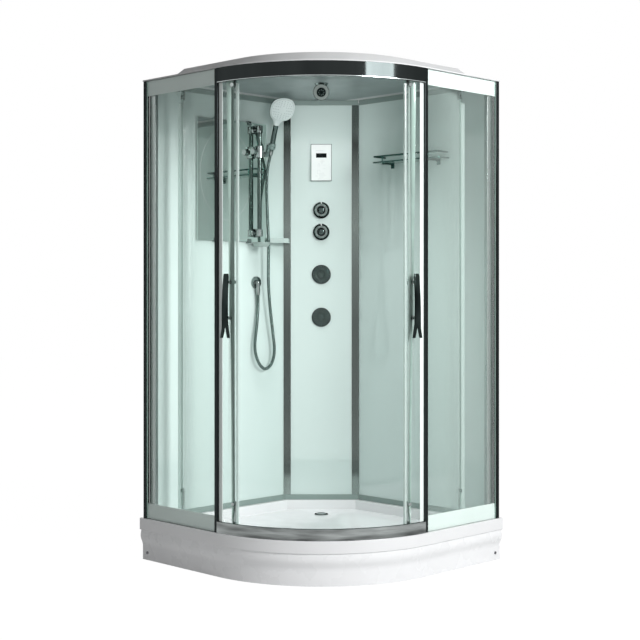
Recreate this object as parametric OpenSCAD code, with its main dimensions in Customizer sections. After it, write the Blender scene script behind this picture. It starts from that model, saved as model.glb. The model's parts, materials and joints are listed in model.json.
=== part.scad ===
// Corner shower cabin with a round front, two curved sliding doors and a glass column.
// Sizes are in millimetres, +Z is up, and the origin is under the middle of the tray.
// Each piece is drawn in a corner frame and placed by cabin(): x runs from the wall corner along
// the left wall, y runs from it along the right wall, and z is the height above the floor.
// The left and right sides mirror each other about the diagonal through the corner.

/* [Cabin] */
// Side of the square that the tray fills
tray_side = 1100; // [1060:5:1160]
// Radius of the round front, at the line of the glass
front_r = 580; // [560:5:600]
// How far the tray stands out in front of the glass
tray_lip = 17; // [14:1:24]
// How far the tray runs behind the wall lines
tray_back = 27; // [24:1:40]
// Height of the ceiling and of the tops of the posts
ceiling_z = 2045; // [2000:5:2100]

/* [Tray and apron] */
// Height of the tray's rim
rim_z = 180; // [175:1:200]
// Height of the rim's outer face
rim_face = 50; // [45:1:55]
// Step from the rim down to the deck that runs round the basin
deck_drop = 8; // [5:1:10]
// Width of the rim on the front
rim_w = 29; // [28:1:32]
// Width of the deck on the front
deck_w = 33; // [28:1:40]
// Depth of the basin below the deck
basin_depth = 44; // [36:1:46]
// Thickness of the tray's shell
tray_t = 5; // [4:0.5:6]
// Diameter of the hole for the waste
waste_d = 52; // [50:1:56]
// Distance of the waste from the corner, along the diagonal
waste_run = 357; // [340:1:370]
// Thickness of the apron
apron_t = 4; // [3:0.5:5]
// How far the apron's belly stands out from its foot
apron_belly = 12; // [6:1:13]
// Gap between the apron and the floor
apron_gap = 2; // [1:0.5:6]

/* [Frame and feet] */
// Side of the square steel tube
tube = 25; // [20:1:30]
// Wall of the steel tube
tube_t = 2; // [1.5:0.5:3]
// Diameter of the foot's threaded rod
rod_d = 12; // [10:1:14]
// Diameter of the foot's pad
pad_d = 50; // [40:1:60]
// Height of the foot's pad
pad_h = 14; // [10:1:20]

/* [Walls and column] */
// Distance of the inner wall face from the wall line
wall_in = 18; // [16:1:22]
// Thickness of the back glass
wall_t = 5; // [4:0.5:6]
// Distance of the column's face from the corner, along the diagonal
column_run = 202; // [195:1:210]
// Width of the column's glass
column_w = 286; // [280:1:290]
// Width of the metal profile on each side of the column
profile_w = 33; // [30:1:36]
// Height of the trims at the foot and the head of the walls
trim_h = 24; // [20:1:28]

/* [Roof] */
// Thickness of the roof's edge
roof_edge = 5; // [4:0.5:6]
// Rise of the dome above the edge
dome_h = 50; // [40:1:60]
// Distance of the dome's foot from the glass line and the wall lines
dome_foot = 67; // [60:1:75]
// Distance of the dome's top from the same lines
dome_top = 114; // [100:1:120]
// Thickness of the roof's shell
roof_t = 4; // [3:0.5:5]

/* [Posts, rails and fixed glass] */
// Side of the square outer posts
outer_post = 19; // [17:1:21]
// Depth of the inner posts, from front to back
inner_post = 14; // [12:1:15]
// Depth of the rails, from front to back
rail_d = 15; // [13:1:15]
// Height of the upper rail
upper_rail_h = 58; // [50:1:64]
// Height of the lower rail
lower_rail_h = 45; // [40:1:50]
// Thickness of the fixed and the sliding glass
glass_t = 5; // [4:0.5:6]
// Height of the white strips that hide the rails behind the fixed glass
cover_h = 64; // [58:1:70]
// Width of the light strip beside each outer post
strip_w = 40; // [34:1:44]
// Width of the light seal beside each inner post
seal_w = 22; // [16:1:22]

/* [Doors] */
// Distance from the glass line in to the middle of the door's glass
door_in = 22; // [21:0.5:24]
// Angle of arc that a door's glass fills
door_arc = 49; // [47.5:0.5:50]
// Diameter of a top roller
roller_d = 23.6; // [20:0.2:24]
// Length of a handle's bar
handle_h = 256; // [200:2:280]
// Width of a handle's bar
handle_w = 22; // [16:1:26]
// Distance between a handle's two bolts
bolt_gap = 143; // [120:1:160]

/* [Fittings] */
// Diameter of the round knobs
knob_d = 77; // [60:1:84]
// Diameter of the body jets
jet_d = 89; // [80:1:96]
// Diameter of the riser bar
bar_d = 20; // [18:1:22]
// Length of the riser bar
bar_l = 502; // [460:2:540]
// Width of the mirror
mirror_w = 411; // [340:1:420]
// Height of the mirror
mirror_h = 543; // [400:1:560]
// Length of the glass shelf
shelf_l = 392; // [300:1:400]
// Depth of the glass shelf
shelf_d = 82; // [70:1:90]
// Diameter of the hand shower's head
head_d = 118; // [100:1:130]
// Outer diameter of the shower hose
hose_d = 14; // [12:0.5:15]

/* [Hidden] */
$fn = 64;

// Gap between pieces that sit against each other without a fit
seat = 0.2;
// Radial clearance of a part that turns or slides
running = 0.08;

// Plan of the cabin
reach = tray_side - tray_lip - tray_back;
straight = reach - front_r;
tray_r = front_r + tray_lip;
deck_r = tray_r - rim_w;
basin_r = deck_r - deck_w;
deck_back = 5;
basin_back = 45;
basin_corner = column_run + 22;

// Heights
deck_z = rim_z - deck_drop;
basin_z = deck_z - basin_depth;
frame_z = basin_z - tray_t;
rim_foot = rim_z - rim_face;
roof_z = ceiling_z + roof_edge + dome_h;
upper_z = ceiling_z - upper_rail_h;
lower_z = rim_z + lower_rail_h;
waste = waste_run / sqrt(2);

// Rails, in distances from the centre of the round front
rail_out = front_r + 11;
rail_in = rail_out - rail_d;
rail_t = 2;
ledge_t = 4;
ledge_z = ceiling_z - 32;
ledge_in = front_r - 19;

// Doors, drawn closed and then turned open about a pivot that stands for the bent rail
door_r = front_r - door_in;
lead_a = 44.5;
trail_a = lead_a - door_arc;
pivot = [straight - front_r * 24 / 145, straight - front_r * 5 / 58];
door_foot = rim_z + 35;
door_head = ledge_z - 8;
roller_z = ledge_z + roller_d / 2 + seat;
roller_in = door_r + 5;
roller_w = 6;
axle_d = 6;
channel_w = 6;
channel_a = asin(channel_w / door_r);
magnet_a = 45 - lead_a - 0.06;

// Places of the carriages, as the distance between their sides and the ends of the glass
clip_w = 27;
clip_gap = 11.8;
clip_back = asin((clip_w / 2 + clip_gap) / door_r);
fin_gap = 21.5;
fin_back = asin((clip_w / 2 + fin_gap) / door_r);
lead_roller_a = lead_a - clip_back;
trail_roller_a = trail_a + fin_back;
guide_w = 16;
guide_gap = 13.1;
guide_back = asin((guide_w / 2 + guide_gap) / door_r);
handle_a = 40.7;
handle_bolt_z = (rim_z + ceiling_z) / 2 + 1.5;
bolt_d = 10;

// A door opens until its handle nears the fixed glass or its trailing edge nears the wall
handle_stop = 10.5;
wall_stop = 100;
trail_arm = [straight + door_r * cos(trail_a), straight + door_r * sin(trail_a)] - pivot;
wall_travel = atan2(trail_arm.y, trail_arm.x) + asin((pivot.y - wall_stop) / norm(trail_arm));
door_travel = min(handle_a - handle_stop, wall_travel);

// Inner edge of the ledge behind the fixed glass, in distances from the pivot
roller_mid = roller_in + roller_w / 2;
roller_arm = [straight + roller_mid * cos(trail_roller_a), straight + roller_mid * sin(trail_roller_a)]
  - pivot;
ledge_cut = norm(roller_arm) - 6.8;
ledge_len = 180;
ledge_y = 58;

// Walls and column
wall_foot = deck_z + 11;
wall_head = ceiling_z - 11;
wall_end = reach - 46;
profile_run = column_run + 4;
column_half = column_w / 2;
wall_start = (column_run + column_half + profile_w) / sqrt(2) - wall_in;

// Fittings, on the column
knob_z = [ceiling_z - 516, ceiling_z - 618];
jet_z = [ceiling_z - 817, ceiling_z - 1018];
panel_z = ceiling_z - 293;
panel_w = 99;
panel_h = 173;
panel_t = 12;
display_w = 50;
display_h = 21;
display_z = panel_z + 33;
valve_run = 120;
spindle_d = 10;
ball_r = 23.5;
overhead_run = 697;
overhead_z = ceiling_z - 31;
overhead_tilt = 20;
eye_r = 8;
eye_w = 10;
eye_pin_r = 3;
ear_w = 4;

// Fittings, on the walls
bar = [458, 59];
bar_z = ceiling_z - 644;
slider_z = ceiling_z - 260;
mirror_x = 389;
mirror_z = ceiling_z - 670;
mirror_in = 25;
mirror_t = 5;
shelf_y = 423;
shelf_z = ceiling_z - 313;
shelf_t = 6;
elbow_x = 445;
elbow_z = ceiling_z - 856;
nut_end = [391, 59, ceiling_z - 269];
handset_lean = 16;
handset_turn = 22;
head_lean = 36;
nut_l = 18;

// Route of the hose, from the elbow's nut to the hand shower's nut: places on the wall, and how
// far below the ceiling they are
hose_places = [[elbow_x, 34, 913], [elbow_x, 34, 962], [454, 38, 1035], [464, 41, 1088], [472, 43, 1142],
  [466, 44, 1189], [443, 45, 1233], [410, 45, 1253], [377, 45, 1238], [357, 45, 1200], [354, 46, 1152],
  [363, 47, 1095], [376, 49, 1021], [390, 53, 944], [401, 57, 852], [404, 60, 765], [404, 62, 685],
  [407, 61, 615], [408, 58, 545], [406, 52, 475], [400, 44, 405], [391, 40, 335], [391, 59, 269]];
hose_route = [for (p = hose_places) [p.x, p.y, ceiling_z - p.z]];
ribs_a_span = 9;
hose_bore = 9;

// Frames and shared shapes

module cabin() translate([tray_back - tray_side / 2, tray_side / 2 - tray_back, 0])
  rotate([0, 0, -90]) children();

// The diagonal frame: x runs forward from the corner, y runs to the right
module diagonal() rotate([0, 0, 45]) children();

module both_sides() {
  children();
  mirror([1, -1, 0]) children();
}

module slab(z0, z1) translate([0, 0, z0]) linear_extrude(z1 - z0) children();

// Plan outline with a round front of radius r and back sides at the distance back
module outline(r, back) {
  translate([back, back]) square([straight - back, straight + r - back]);
  translate([back, back]) square([straight + r - back, straight - back]);
  translate([straight, straight]) intersection() {
    circle(r = r);
    translate([-1, -1]) square(r + 2);
  }
}

// A profile of radius and height, run along the two straights and round the front
module front_sweep(from) translate([straight, straight, 0]) {
  rotate_extrude(angle = 90) children();
  both_sides() rotate([90, 0, 0]) linear_extrude(straight - from) children();
}

// A profile of distance and height, run along the left wall
module wall_run(x0, x1) translate([x0, 0, 0]) rotate([90, 0, 90]) linear_extrude(x1 - x0) children();

module ring(r0, r1, h) difference() {
  cylinder(r = r1, h = h);
  translate([0, 0, -1]) cylinder(r = r0, h = h + 2);
}

// A straight round bar between two points
module rod(a, b, r) {
  d = b - a;
  translate(a) rotate([0, acos(d.z / norm(d)), atan2(d.y, d.x)]) cylinder(r = r, h = norm(d));
}

// Bars through a list of points, with a ball joint at each corner
module piping(points, r) {
  for (i = [1 : len(points) - 1]) rod(points[i - 1], points[i], r);
  for (i = [1 : 1 : len(points) - 2]) translate(points[i]) sphere(r = r + 0.5);
}

function ogee(t) = (1 - cos(180 * min(1, max(0, t)))) / 2;

// Tray and apron

module basin_outline(grow) difference() {
  outline(basin_r + grow, basin_back - grow);
  diagonal() translate([-tray_side, -tray_side]) square([tray_side + basin_corner - grow, 2 * tray_side]);
}

module shower_tray() color("white") cabin() difference() {
  union() {
    difference() {
      slab(rim_foot, rim_z) outline(tray_r, -tray_back);
      slab(deck_z, rim_z + 1) outline(deck_r, deck_back);
      difference() {
        slab(rim_foot - 1, rim_z - tray_t) outline(tray_r - tray_t, tray_t - tray_back);
        slab(deck_z - tray_t, rim_z) outline(deck_r + tray_t, deck_back - tray_t);
      }
      slab(rim_foot - 1, rim_z + 1) basin_outline(1);
    }
    difference() {
      slab(frame_z, deck_z) basin_outline(tray_t);
      slab(basin_z, deck_z + 1) basin_outline(0);
    }
  }
  translate([waste, waste, frame_z - 1]) cylinder(d = waste_d, h = tray_t + 2);
}

apron_steps = 14;
function apron_r(z) = front_r + 3 + apron_belly * ogee((z - 62) / 42) - 3 * ogee((z - 112) / 18);
apron_face = [for (i = [0 : apron_steps])
  let (z = apron_gap + (rim_foot - apron_gap) * i / apron_steps) [apron_r(z), z]];

screw_z = 33;
screw_y = 10;

module apron() color("gainsboro") cabin() difference() {
  front_sweep(5 - tray_back) polygon(concat(apron_face,
    [for (i = [apron_steps : -1 : 0]) apron_face[i] - [apron_t, 0]]));
  both_sides() translate([straight + apron_r(screw_z) - apron_t - 5, screw_y, screw_z])
    rotate([0, 90, 0]) cylinder(d = 5.4, h = apron_t + 10);
}

module apron_screws() color("dimgray") cabin() both_sides()
  translate([straight + apron_r(screw_z), screw_y, screw_z]) rotate([0, 90, 0]) {
    cylinder(d = 12, h = 3);
    translate([0, 0, -apron_t - 6]) cylinder(d = 5, h = apron_t + 7);
  }

// Steel frame and feet

frame_in = 60;
frame_out = reach - 96;
frame_side = 400;
frame_cross = tray_side / 2 - tray_back;
feet = [[frame_in, frame_in], [frame_out, frame_in], [frame_in, frame_out], [frame_out, frame_side],
  [frame_side, frame_out], [(frame_out + frame_side) / 2, (frame_out + frame_side) / 2],
  [frame_cross, frame_cross]];
brace_run = (frame_out + frame_side) / sqrt(2);
brace_half = (frame_out - frame_side) / sqrt(2);

module frame_lines(w) {
  half = w / 2;
  both_sides() {
    translate([frame_in - half, frame_in - half]) square([frame_out - frame_in + w, w]);
    translate([frame_out - half, frame_in - half]) square([w, frame_side - frame_in + w]);
    translate([frame_in, frame_cross - half])
      square([frame_out + frame_side - frame_cross - frame_in, w]);
  }
  diagonal() translate([brace_run - half, -brace_half - half]) square([w, 2 * brace_half + w]);
}

module tray_frame() color("slategray") cabin() difference() {
  union() {
    slab(frame_z - tube, frame_z) frame_lines(tube);
    both_sides() {
      translate([frame_out, 0, frame_z - tube]) cube([reach - 6 - frame_out, tube, 3]);
      translate([frame_out - tube / 2, 0, frame_z - tube]) cube([tube, frame_in, 3]);
      translate([straight + apron_r(screw_z) - apron_t - 4, 0, 20])
        cube([3, tube, frame_z - tube - 17]);
    }
  }
  slab(frame_z - tube + tube_t, frame_z - tube_t) frame_lines(tube - 2 * tube_t);
  for (p = feet) translate([p.x, p.y, frame_z - tube - 1])
    cylinder(d = rod_d + 0.6, h = tube - tube_t);
  both_sides() translate([straight + apron_r(screw_z) - apron_t - 10, screw_y, screw_z])
    rotate([0, 90, 0]) cylinder(d = 5.2, h = 12);
}

module levelling_feet() color("silver") cabin() for (p = feet) translate([p.x, p.y, 0]) {
  cylinder(d1 = pad_d, d2 = pad_d - 14, h = pad_h);
  translate([0, 0, pad_h - 1]) cylinder(d = rod_d, h = frame_z - tube_t - 3 - pad_h);
  translate([0, 0, frame_z - tube - 10]) cylinder(d = 22, h = 10, $fn = 6);
}

// Waste

flange_h = 3;
neck_r = waste_d / 2 - 0.5;
stem_r = 4;
cover_r = 23;
trap_r = 44;
trap_z = 40;
trap_top = frame_z - 19;
trap_wall = 4;
pipe_z = trap_z + 30;
pipe_r = 20;
pipe_end = -waste - tray_back + 4;
socket_run = 50;

module drain_flange() color("silver") cabin() translate([waste, waste, 0]) {
  translate([0, 0, basin_z]) ring(neck_r - 4, neck_r + 5, flange_h);
  translate([0, 0, basin_z - 24]) ring(neck_r - 4, neck_r, 25);
  translate([0, 0, basin_z - 16]) difference() {
    translate([-neck_r + 2, -6, 0]) cube([2 * neck_r - 4, 12, 4]);
    translate([0, 0, -1]) cylinder(r = stem_r + running, h = 6);
  }
}

module drain_cover() color("silver") cabin() translate([waste, waste, basin_z + flange_h + seat]) {
  cylinder(r = cover_r, h = 2);
  translate([0, 0, 2]) cylinder(r1 = cover_r, r2 = cover_r - 9, h = 3);
  translate([0, 0, -24]) cylinder(r = stem_r, h = 25);
}

module drain_trap() color("whitesmoke") cabin() translate([waste, waste, 0]) difference() {
  union() {
    translate([0, 0, trap_z]) cylinder(r = trap_r, h = trap_top - trap_z);
    translate([0, 0, trap_top - 1]) cylinder(r = neck_r + 6, h = frame_z - trap_top + 1);
    rod([0, 0, pipe_z], [-socket_run, 0, pipe_z], pipe_r + 5);
    rod([0, 0, pipe_z], [pipe_end, 0, pipe_z], pipe_r);
  }
  translate([0, 0, trap_z + trap_wall])
    cylinder(r = trap_r - trap_wall, h = trap_top - trap_z - 2 * trap_wall);
  translate([0, 0, trap_top - trap_wall - 1]) cylinder(r = neck_r + seat, h = frame_z - trap_top + 6);
  rod([0, 0, pipe_z], [pipe_end - 1, 0, pipe_z], pipe_r - 3);
}

// Walls and column

module left_wall_space() translate([-tray_side, -tray_side, -1])
  cube([3 * tray_side, tray_side + wall_in + seat, cabin_top]);
cabin_top = roof_z + 50;

elbow_hole = 26;

module wall_panels() color("honeydew") cabin() difference() {
  both_sides() translate([wall_start, wall_in - wall_t, wall_foot])
    cube([wall_end - wall_start, wall_t, wall_head - wall_foot]);
  translate([elbow_x, wall_in - wall_t - 1, elbow_z]) rotate([-90, 0, 0])
    cylinder(d = elbow_hole, h = wall_t + 2);
}

module column_panel() color("honeydew") cabin() diagonal() difference() {
  translate([column_run - wall_t, -column_half, wall_foot])
    cube([wall_t, column_w, wall_head - wall_foot]);
  for (z = knob_z) translate([column_run - wall_t - 1, 0, z]) rotate([0, 90, 0])
    cylinder(r = 14, h = wall_t + 2);
  for (z = jet_z) translate([column_run - wall_t - 1, 0, z]) rotate([0, 90, 0])
    cylinder(r = 30, h = wall_t + 2);
}

module column_profiles() color("silver") cabin() both_sides() difference() {
  diagonal() translate([column_run - wall_t - 1, -column_half - profile_w, deck_z + trim_h])
    cube([profile_run - column_run + wall_t + 1, profile_w - seat, ceiling_z - deck_z - 2 * trim_h]);
  left_wall_space();
}

// Profile of a trim at the foot of the wall, with a groove for the glass
module trim_profile(face) difference() {
  translate([face - wall_t - 4, 0]) square([wall_t + 8, trim_h]);
  translate([face - wall_t - 0.1, 11]) square([wall_t + 0.2, trim_h]);
}

module trims() {
  both_sides() difference() {
    wall_run(column_run, wall_end) trim_profile(wall_in);
    diagonal() translate([0, -tray_side, -1]) cube([profile_run, tray_side, trim_h + 2]);
  }
  difference() {
    diagonal() translate([0, -column_half - profile_w, 0]) rotate([90, 0, 180])
      mirror([1, 0, 0]) linear_extrude(column_w + 2 * profile_w) trim_profile(column_run);
    both_sides() translate([-tray_side, -tray_side, -1])
      cube([3 * tray_side, tray_side + wall_in + 4 + seat, trim_h + 2]);
  }
}

module wall_trims() color("silver") cabin() {
  translate([0, 0, deck_z]) trims();
  translate([0, 0, ceiling_z]) mirror([0, 0, 1]) trims();
}

// Roof

module dome(foot, top, z0, z1) difference() {
  slab(z0, z1) outline(front_r - foot, foot);
  front_sweep(-80) polygon([[front_r - foot, z0], [front_r + 60, z0], [front_r + 60, z1 + 1],
    [front_r - top - 1, z1 + 1], [front_r - top, z1]]);
  both_sides() wall_run(-80, reach + 80)
    polygon([[foot, z0], [-80, z0], [-80, z1 + 1], [top + 1, z1 + 1], [top, z1]]);
}

roof_lip = 12;
panel_t_ceiling = 3;
ledge_w = 8;
edge_top = ceiling_z + roof_edge;

module roof() color("white") cabin() difference() {
  union() {
    slab(ceiling_z, edge_top) outline(front_r + roof_lip, -roof_lip);
    dome(dome_foot, dome_top, edge_top, roof_z);
  }
  slab(ceiling_z - 1, ceiling_z + panel_t_ceiling) outline(front_r - dome_foot, dome_foot);
  slab(ceiling_z - 1, edge_top + 0.5) outline(front_r - dome_foot - ledge_w, dome_foot + ledge_w);
  dome(dome_foot + ledge_w, dome_top + roof_t, edge_top, roof_z - roof_t);
}

pipe_hole = 10;
roof_pipe_run = valve_run + 20;

module ceiling_panel() color("gainsboro") cabin() difference() {
  slab(ceiling_z, ceiling_z + panel_t_ceiling)
    outline(front_r - dome_foot - seat, dome_foot + seat);
  for (run = [roof_pipe_run, overhead_run]) diagonal()
    translate([run, 0, ceiling_z - 1]) cylinder(r = pipe_hole, h = panel_t_ceiling + 2);
}

// Posts, strips and rails

post_h = ceiling_z - rim_z;
outer_y = -10;
inner_y = straight - 21;
inner_x = reach - 6;
inner_w = 18;
fixed_x = reach + 0.5;

module posts() color("dimgray") cabin() both_sides() {
  translate([reach - 9, outer_y, rim_z]) cube([outer_post, outer_post, post_h]);
  translate([inner_x, inner_y, rim_z]) cube([inner_post, inner_w, post_h]);
}

fixed_y0 = outer_y + outer_post + seat;
strip_x = reach - 8;
strip_t = 8;

// The strip closes the end of the wall and turns in behind the fixed glass
module post_strips() color("silver") cabin() both_sides() {
  translate([wall_end, fixed_y0, rim_z]) cube([strip_x - wall_end, 12, post_h]);
  translate([strip_x - strip_t, fixed_y0, rim_z]) cube([strip_t, strip_w, post_h]);
}

seal_y = inner_y + inner_w;
seal_t = 2.5;

module post_seals() color("white") cabin() both_sides()
  translate([reach - 3.5, seal_y, lower_z]) cube([seal_t, seal_w, upper_z - lower_z]);

module rail_profile(z, h) difference() {
  translate([rail_in, z]) square([rail_d, h]);
  translate([rail_in + rail_t, z + rail_t]) square([rail_d - 2 * rail_t, h - 2 * rail_t]);
}

// The top rail carries a ledge inside, which the rollers run on. Behind the fixed glass
// the ledge bends inward, because a curved door swings in as it opens.
module upper_rail() color("dimgray") cabin() {
  front_sweep(seal_y) rail_profile(upper_z, upper_rail_h);
  front_sweep(seal_y) translate([ledge_in, ledge_z - ledge_t])
    square([rail_in - ledge_in + 0.5, ledge_t]);
  both_sides() slab(ledge_z - ledge_t, ledge_z) difference() {
    translate([reach - ledge_len, ledge_y])
      square([inner_x - reach + ledge_len, seal_y - ledge_y + 1]);
    translate(pivot) circle(r = ledge_cut, $fn = 128);
  }
}

module lower_rail() color("dimgray") cabin() front_sweep(seal_y) rail_profile(rim_z, lower_rail_h);

cover_t = 2.5;
cover_lean = 2;

module rail_covers() color("white") cabin() both_sides() {
  translate([fixed_x - seat - cover_t, fixed_y0, ceiling_z - cover_h])
    cube([cover_t, inner_y - fixed_y0, cover_h]);
  translate([fixed_x - seat - cover_t, inner_y, rim_z]) rotate([90, 0, 0])
    linear_extrude(inner_y - fixed_y0)
      polygon([[0, 0], [cover_t, 0], [cover_t, cover_h * 0.66], [cover_t - cover_lean, cover_h],
        [-cover_lean, cover_h], [0, cover_h * 0.66]]);
}

module fixed_glass() color([0.75, 0.88, 0.84, 0.4]) cabin() both_sides()
  translate([fixed_x, fixed_y0, rim_z]) cube([glass_t, inner_y - fixed_y0, post_h]);

// Mirror, shelves and riser

module wall_mirror() color("lightblue") cabin() difference() {
  translate([mirror_x, mirror_in, mirror_z]) cube([mirror_w, mirror_t, mirror_h]);
  for (z = bracket_z) translate([bar.x, mirror_in - 1, z]) rotate([-90, 0, 0])
    cylinder(r = stud_r + 0.5, h = mirror_t + 2);
}

clip = 22;
clip_run = 100;

module mirror_clips() color("silver") cabin()
  for (run = [-clip_run, clip_run], top = [0, 1])
    translate([mirror_x + (mirror_w - clip) / 2 + run, 0, mirror_z + mirror_h / 2]) mirror([0, 0, 1 - top])
      translate([0, wall_in, mirror_h / 2 - 12]) difference() {
        cube([clip, mirror_in - wall_in + mirror_t + 3, 18]);
        translate([-1, mirror_in - wall_in - 0.1, -1]) cube([clip + 2, mirror_t + 0.2, 13.1]);
      }

shelf_r = 18;

module shelf_board() color([0.7, 0.85, 0.8, 0.6]) cabin()
  slab(shelf_z, shelf_z + shelf_t) difference() {
    translate([wall_in + seat, shelf_y]) square([shelf_d, shelf_l]);
    for (end = [0, 1]) translate([wall_in + seat + shelf_d - shelf_r,
        end ? shelf_y + shelf_l - shelf_r : shelf_y + shelf_r]) mirror([0, 1 - end]) difference() {
      square(shelf_r + 1);
      circle(r = shelf_r);
    }
  }

gallery_h = 24;
gallery_r = 4;
gallery_x = wall_in + shelf_d - 8;
bracket_y = [shelf_y + 60, shelf_y + shelf_l - 60];

module shelf_gallery() color("silver") cabin() {
  z = shelf_z + shelf_t + gallery_h;
  y0 = shelf_y + 12;
  y1 = shelf_y + shelf_l - 12;
  piping([[wall_in, y0, z], [gallery_x, y0, z], [gallery_x, y1, z], [wall_in, y1, z]], gallery_r);
  for (y = bracket_y) {
    translate([gallery_x, y, shelf_z + shelf_t]) cylinder(r = 3, h = gallery_h);
    translate([wall_in, y - 8, shelf_z - 22]) cube([6, 16, 22]);
    translate([wall_in, y - 8, shelf_z - 6]) cube([shelf_d - 16, 16, 6]);
  }
}

corner_z = ceiling_z - 658;
lip_h = 14;

module corner_shelf() color("white") cabin() {
  edge = [[385, wall_in + seat], [385, 45], [292, 76], [252, 44]];
  slab(corner_z, corner_z + 8) difference() {
    polygon(concat(edge, [[240, wall_in + seat]]));
    diagonal() translate([-tray_side, -tray_side]) square([tray_side + profile_run + seat, 2 * tray_side]);
  }
  for (i = [1, 2]) translate([0, 0, corner_z - lip_h]) linear_extrude(lip_h + 1) lip(edge[i], edge[i + 1]);
}

// A wall 4 thick on the inner side of a line in plan
module lip(a, b) {
  d = (b - a) / norm(b - a);
  polygon([a, b, b + 4 * [-d.y, d.x], a + 4 * [-d.y, d.x]]);
}

module riser_bar() color("silver") cabin() translate([bar.x, bar.y, bar_z]) cylinder(d = bar_d, h = bar_l);

collar_r = bar_d / 2 + 5;
mirror_face = mirror_in + mirror_t;
stud_r = 4;
collar_h = 32;
rosette_r = 20;
rosette_t = 5;
arm_r = 9;
bracket_z = [bar_z + 14, bar_z + bar_l - 14];

module riser_brackets() color("silver") cabin() for (z = bracket_z) difference() {
  union() {
    translate([bar.x, bar.y, z - collar_h / 2]) cylinder(r = collar_r, h = collar_h);
    translate([bar.x, mirror_face, z]) rotate([-90, 0, 0]) cylinder(r = rosette_r, h = rosette_t);
    translate([bar.x, mirror_face, z]) rotate([-90, 0, 0]) cylinder(r = arm_r, h = bar.y - mirror_face);
    translate([bar.x, wall_in, z]) rotate([-90, 0, 0]) cylinder(r = stud_r, h = bar.y - wall_in);
  }
  translate([bar.x, bar.y, z - collar_h]) cylinder(r = bar_d / 2 + 0.05, h = 2 * collar_h);
}

dish_z = ceiling_z - 693;
dish_r = 42;
dish_y = bar.y + 12;

module soap_dish() color("silver") cabin() difference() {
  union() {
    translate([bar.x, dish_y, dish_z]) cylinder(r1 = dish_r - 12, r2 = dish_r, h = 20);
    translate([bar.x, wall_in, dish_z + 10]) rotate([-90, 0, 0]) cylinder(r = 9, h = 20);
  }
  translate([bar.x, dish_y, dish_z + 4]) cylinder(r1 = dish_r - 15, r2 = dish_r - 3, h = 17);
  left_wall_face();
}

module left_wall_face() translate([0, 0, 0]) cube([tray_side, wall_in, roof_z]);

elbow_y = hose_route[0].y;
elbow_r = 10;
elbow_nut_l = 28;

module outlet_elbow() color("silver") cabin() difference() {
  union() {
    translate([elbow_x, wall_in, elbow_z]) rotate([-90, 0, 0]) cylinder(r = 27.5, h = 8);
    piping([[elbow_x, -4, elbow_z], [elbow_x, elbow_y, elbow_z],
      [elbow_x, elbow_y, hose_route[0].z + elbow_nut_l]], elbow_r);
  }
  rod([elbow_x, elbow_y, elbow_z], [elbow_x, elbow_y, hose_route[0].z], 4.5);
}

module elbow_nut() color("silver") cabin() translate([elbow_x, elbow_y, hose_route[0].z])
  cylinder(r1 = 9.5, r2 = 11.5, h = elbow_nut_l);

// Hose: a tube with ribs and a bore, swept along the smooth line through the route's points

route_n = len(hose_route);
function route_at(i) = i < 0 ? 2 * hose_route[0] - hose_route[1]
  : i >= route_n ? 2 * hose_route[route_n - 1] - hose_route[route_n - 2] : hose_route[i];
function spline(i, t) = let (a = route_at(i - 1), b = route_at(i), c = route_at(i + 1), d = route_at(i + 2))
  0.5 * (2 * b + (c - a) * t + (2 * a - 5 * b + 4 * c - d) * t * t + (3 * b - a - 3 * c + d) * t * t * t);
function slope(i, t) = let (a = route_at(i - 1), b = route_at(i), c = route_at(i + 1), d = route_at(i + 2))
  0.5 * ((c - a) + 2 * (2 * a - 5 * b + 4 * c - d) * t + 3 * (3 * b - a - 3 * c + d) * t * t);
function unit(v) = v / norm(v);

// Point and direction at a place along the route, counted in spans
function along(s) = let (i = min(floor(s), route_n - 2), t = s - i) [spline(i, t), unit(slope(i, t))];
function circle_at(place, r, sides) =
  let (side = unit(cross(place[1], [0, 1, 0])), up = cross(side, place[1]))
  [for (k = [0 : sides - 1]) place[0] + r * (cos(360 * k / sides) * side + sin(360 * k / sides) * up)];

// Faces of a tube of rings of n points, given the number of the first point and of the rings
function tube_faces(first, rings, n, flip) = [for (i = [0 : rings - 2], k = [0 : n - 1])
  let (a = first + i * n + k, b = first + i * n + (k + 1) % n)
  each flip ? [[a, b, b + n], [a, b + n, a + n]] : [[a, b + n, b], [a, a + n, b + n]]];

hose_sides = 8;
rib_count = (route_n - 1) * ribs_a_span;
crest_r = hose_d / 2;
valley_r = crest_r - 0.7;
outer_rings = 2 * rib_count + 1;
inner_rings = 3 * (route_n - 1) + 1;
outer_points = [for (i = [0 : outer_rings - 1])
  each circle_at(along((route_n - 1) * i / (outer_rings - 1)), i % 2 == 1 ? crest_r : valley_r, hose_sides)];
inner_points = [for (i = [0 : inner_rings - 1])
  each circle_at(along((route_n - 1) * i / (inner_rings - 1)), hose_bore / 2, hose_sides)];
inner_first = outer_rings * hose_sides;
outer_last = inner_first - hose_sides;
inner_last = inner_first + (inner_rings - 1) * hose_sides;
function end_faces(outer, inner, flip) = [for (k = [0 : hose_sides - 1])
  let (a = outer + k, b = outer + (k + 1) % hose_sides, c = inner + k, d = inner + (k + 1) % hose_sides)
  each flip ? [[a, b, d], [a, d, c]] : [[a, d, b], [a, c, d]]];

module shower_hose() color("silver") cabin() polyhedron(points = concat(outer_points, inner_points),
  faces = concat(tube_faces(0, outer_rings, hose_sides, true),
    tube_faces(inner_first, inner_rings, hose_sides, false),
    end_faces(0, inner_first, false), end_faces(outer_last, inner_last, true)));

// Hand shower, drawn along its own axis from the hose's end and then leaned forward

module handset_frame() translate(nut_end) rotate([-handset_lean, 0, 0]) children();
module handset_turned() handset_frame() rotate([0, 0, -handset_turn]) children();

module handset_nut() color("silver") cabin() handset_frame() translate([0, 0, seat])
  cylinder(r1 = 9.5, r2 = 11.5, h = nut_l - seat);

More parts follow.
